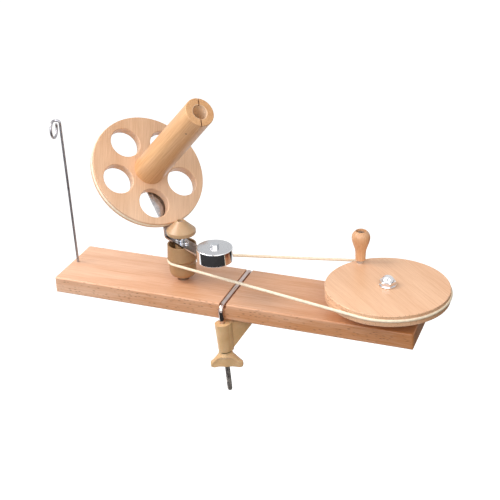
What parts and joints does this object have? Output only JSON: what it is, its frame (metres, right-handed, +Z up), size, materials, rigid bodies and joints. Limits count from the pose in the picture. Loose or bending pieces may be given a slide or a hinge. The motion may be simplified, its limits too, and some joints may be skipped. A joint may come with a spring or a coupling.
{
  "type": "yarn ball winder",
  "caption": "Hand-cranked wooden yarn ball winder: board with table clamp, belt-driven slanted winding disc and tube, counterweight, friction cone and wire yarn guide.",
  "frame": {"origin": "middle of the board's underside, which rests on the table", "axes": "+X along the board towards the drive wheel, +Y away from the clamp's side, +Z up"},
  "size_m": [0.4793, 0.1721, 0.3458],
  "materials": {
    "wood": "pale hardwood, clear satin lacquer",
    "moulded": "moulded, fine satin",
    "rubber": "soft cream rubber",
    "bright_plate": "bright plated steel",
    "bush": "turned",
    "steel": "zinc-plated steel"
  },
  "bodies": {
    "frame": {"board": "wood", "clamp_rod": "steel", "spindle_stud": "steel", "stud_washer": "steel", "stud_nut": "steel", "spindle_sleeve": "steel", "cone_lower_nut": "steel", "friction_cone": "moulded", "wheel_bolt": "steel", "wheel_post": "steel", "wheel_washer": "bright_plate", "cap_nut": "bright_plate", "drive_belt": "rubber"},
    "guide": {"yarn_guide": "steel"},
    "wheel": {"drive_wheel": "wood", "knob_screw": "steel", "knob_washer": "steel"},
    "knob": {"crank_knob": "wood"},
    "rotor": {"belt_pulley": "moulded", "bracket_arm": "bright_plate", "arm_screws": "bright_plate", "counterweight": "bright_plate", "weight_bolt": "bright_plate", "weight_nut": "steel", "axle_bolt": "bright_plate", "axle_spacer": "steel", "axle_back_washer": "steel", "axle_lock_nut": "steel"},
    "winding": {"winding_disc": "wood", "friction_ring": "rubber", "winding_tube": "wood", "winding_bush": "bush"},
    "clamp_slide": {"clamp_washer": "steel"},
    "jaw": {"clamp_jaw": "moulded"},
    "wing": {"wing_nut": "moulded", "wing_nut_insert": "steel"}
  },
  "joints": [
    {"name": "wheel_turn", "type": "hinge", "parent": "frame", "child": "wheel", "pos_m": [0.1785, 0, 0.0448], "axis": [0, 0, 1], "continuous": true},
    {"name": "knob_spin", "type": "hinge", "parent": "wheel", "child": "knob", "pos_m": [0.13432, 0.04672, 0.0648], "axis": [0, 0, 1], "continuous": true},
    {"name": "arm_turn", "type": "hinge", "parent": "frame", "child": "rotor", "pos_m": [-0.0705, 0, 0.0448], "axis": [0, 0, 1], "continuous": true},
    {"name": "disc_turn", "type": "hinge", "parent": "rotor", "child": "winding", "pos_m": [-0.1222, 0.03143, 0.14101], "axis": [0.6249, -0.38, 0.682], "continuous": true},
    {"name": "guide_swivel", "type": "hinge", "parent": "frame", "child": "guide", "pos_m": [-0.212, 0, 0.02], "axis": [-0.0366, 0, 0.9993], "continuous": true},
    {"name": "clamp_slide", "type": "slide", "parent": "frame", "child": "clamp_slide", "axis": [0.0802, 0, -0.9968], "range_m": [0, 0.0261]},
    {"name": "wing_nut_turn", "type": "hinge", "parent": "clamp_slide", "child": "wing", "pos_m": [0.00161, -0.0493, -0.05278], "axis": [0.0802, 0, -0.9968], "range_deg": [0, 9420]},
    {"name": "jaw_swivel", "type": "hinge", "parent": "clamp_slide", "child": "jaw", "pos_m": [-0.00079, -0.0493, -0.02287], "axis": [-0.0802, 0, 0.9968], "continuous": true}
  ],
  "couplings": [
    {"joint": "arm_turn", "follows": "wheel_turn", "ratio": 4.1964},
    {"joint": "disc_turn", "follows": "wheel_turn", "ratio": 0.949},
    {"joint": "wing_nut_turn", "follows": "clamp_slide", "rad_per_m": 6283.2}
  ]
}
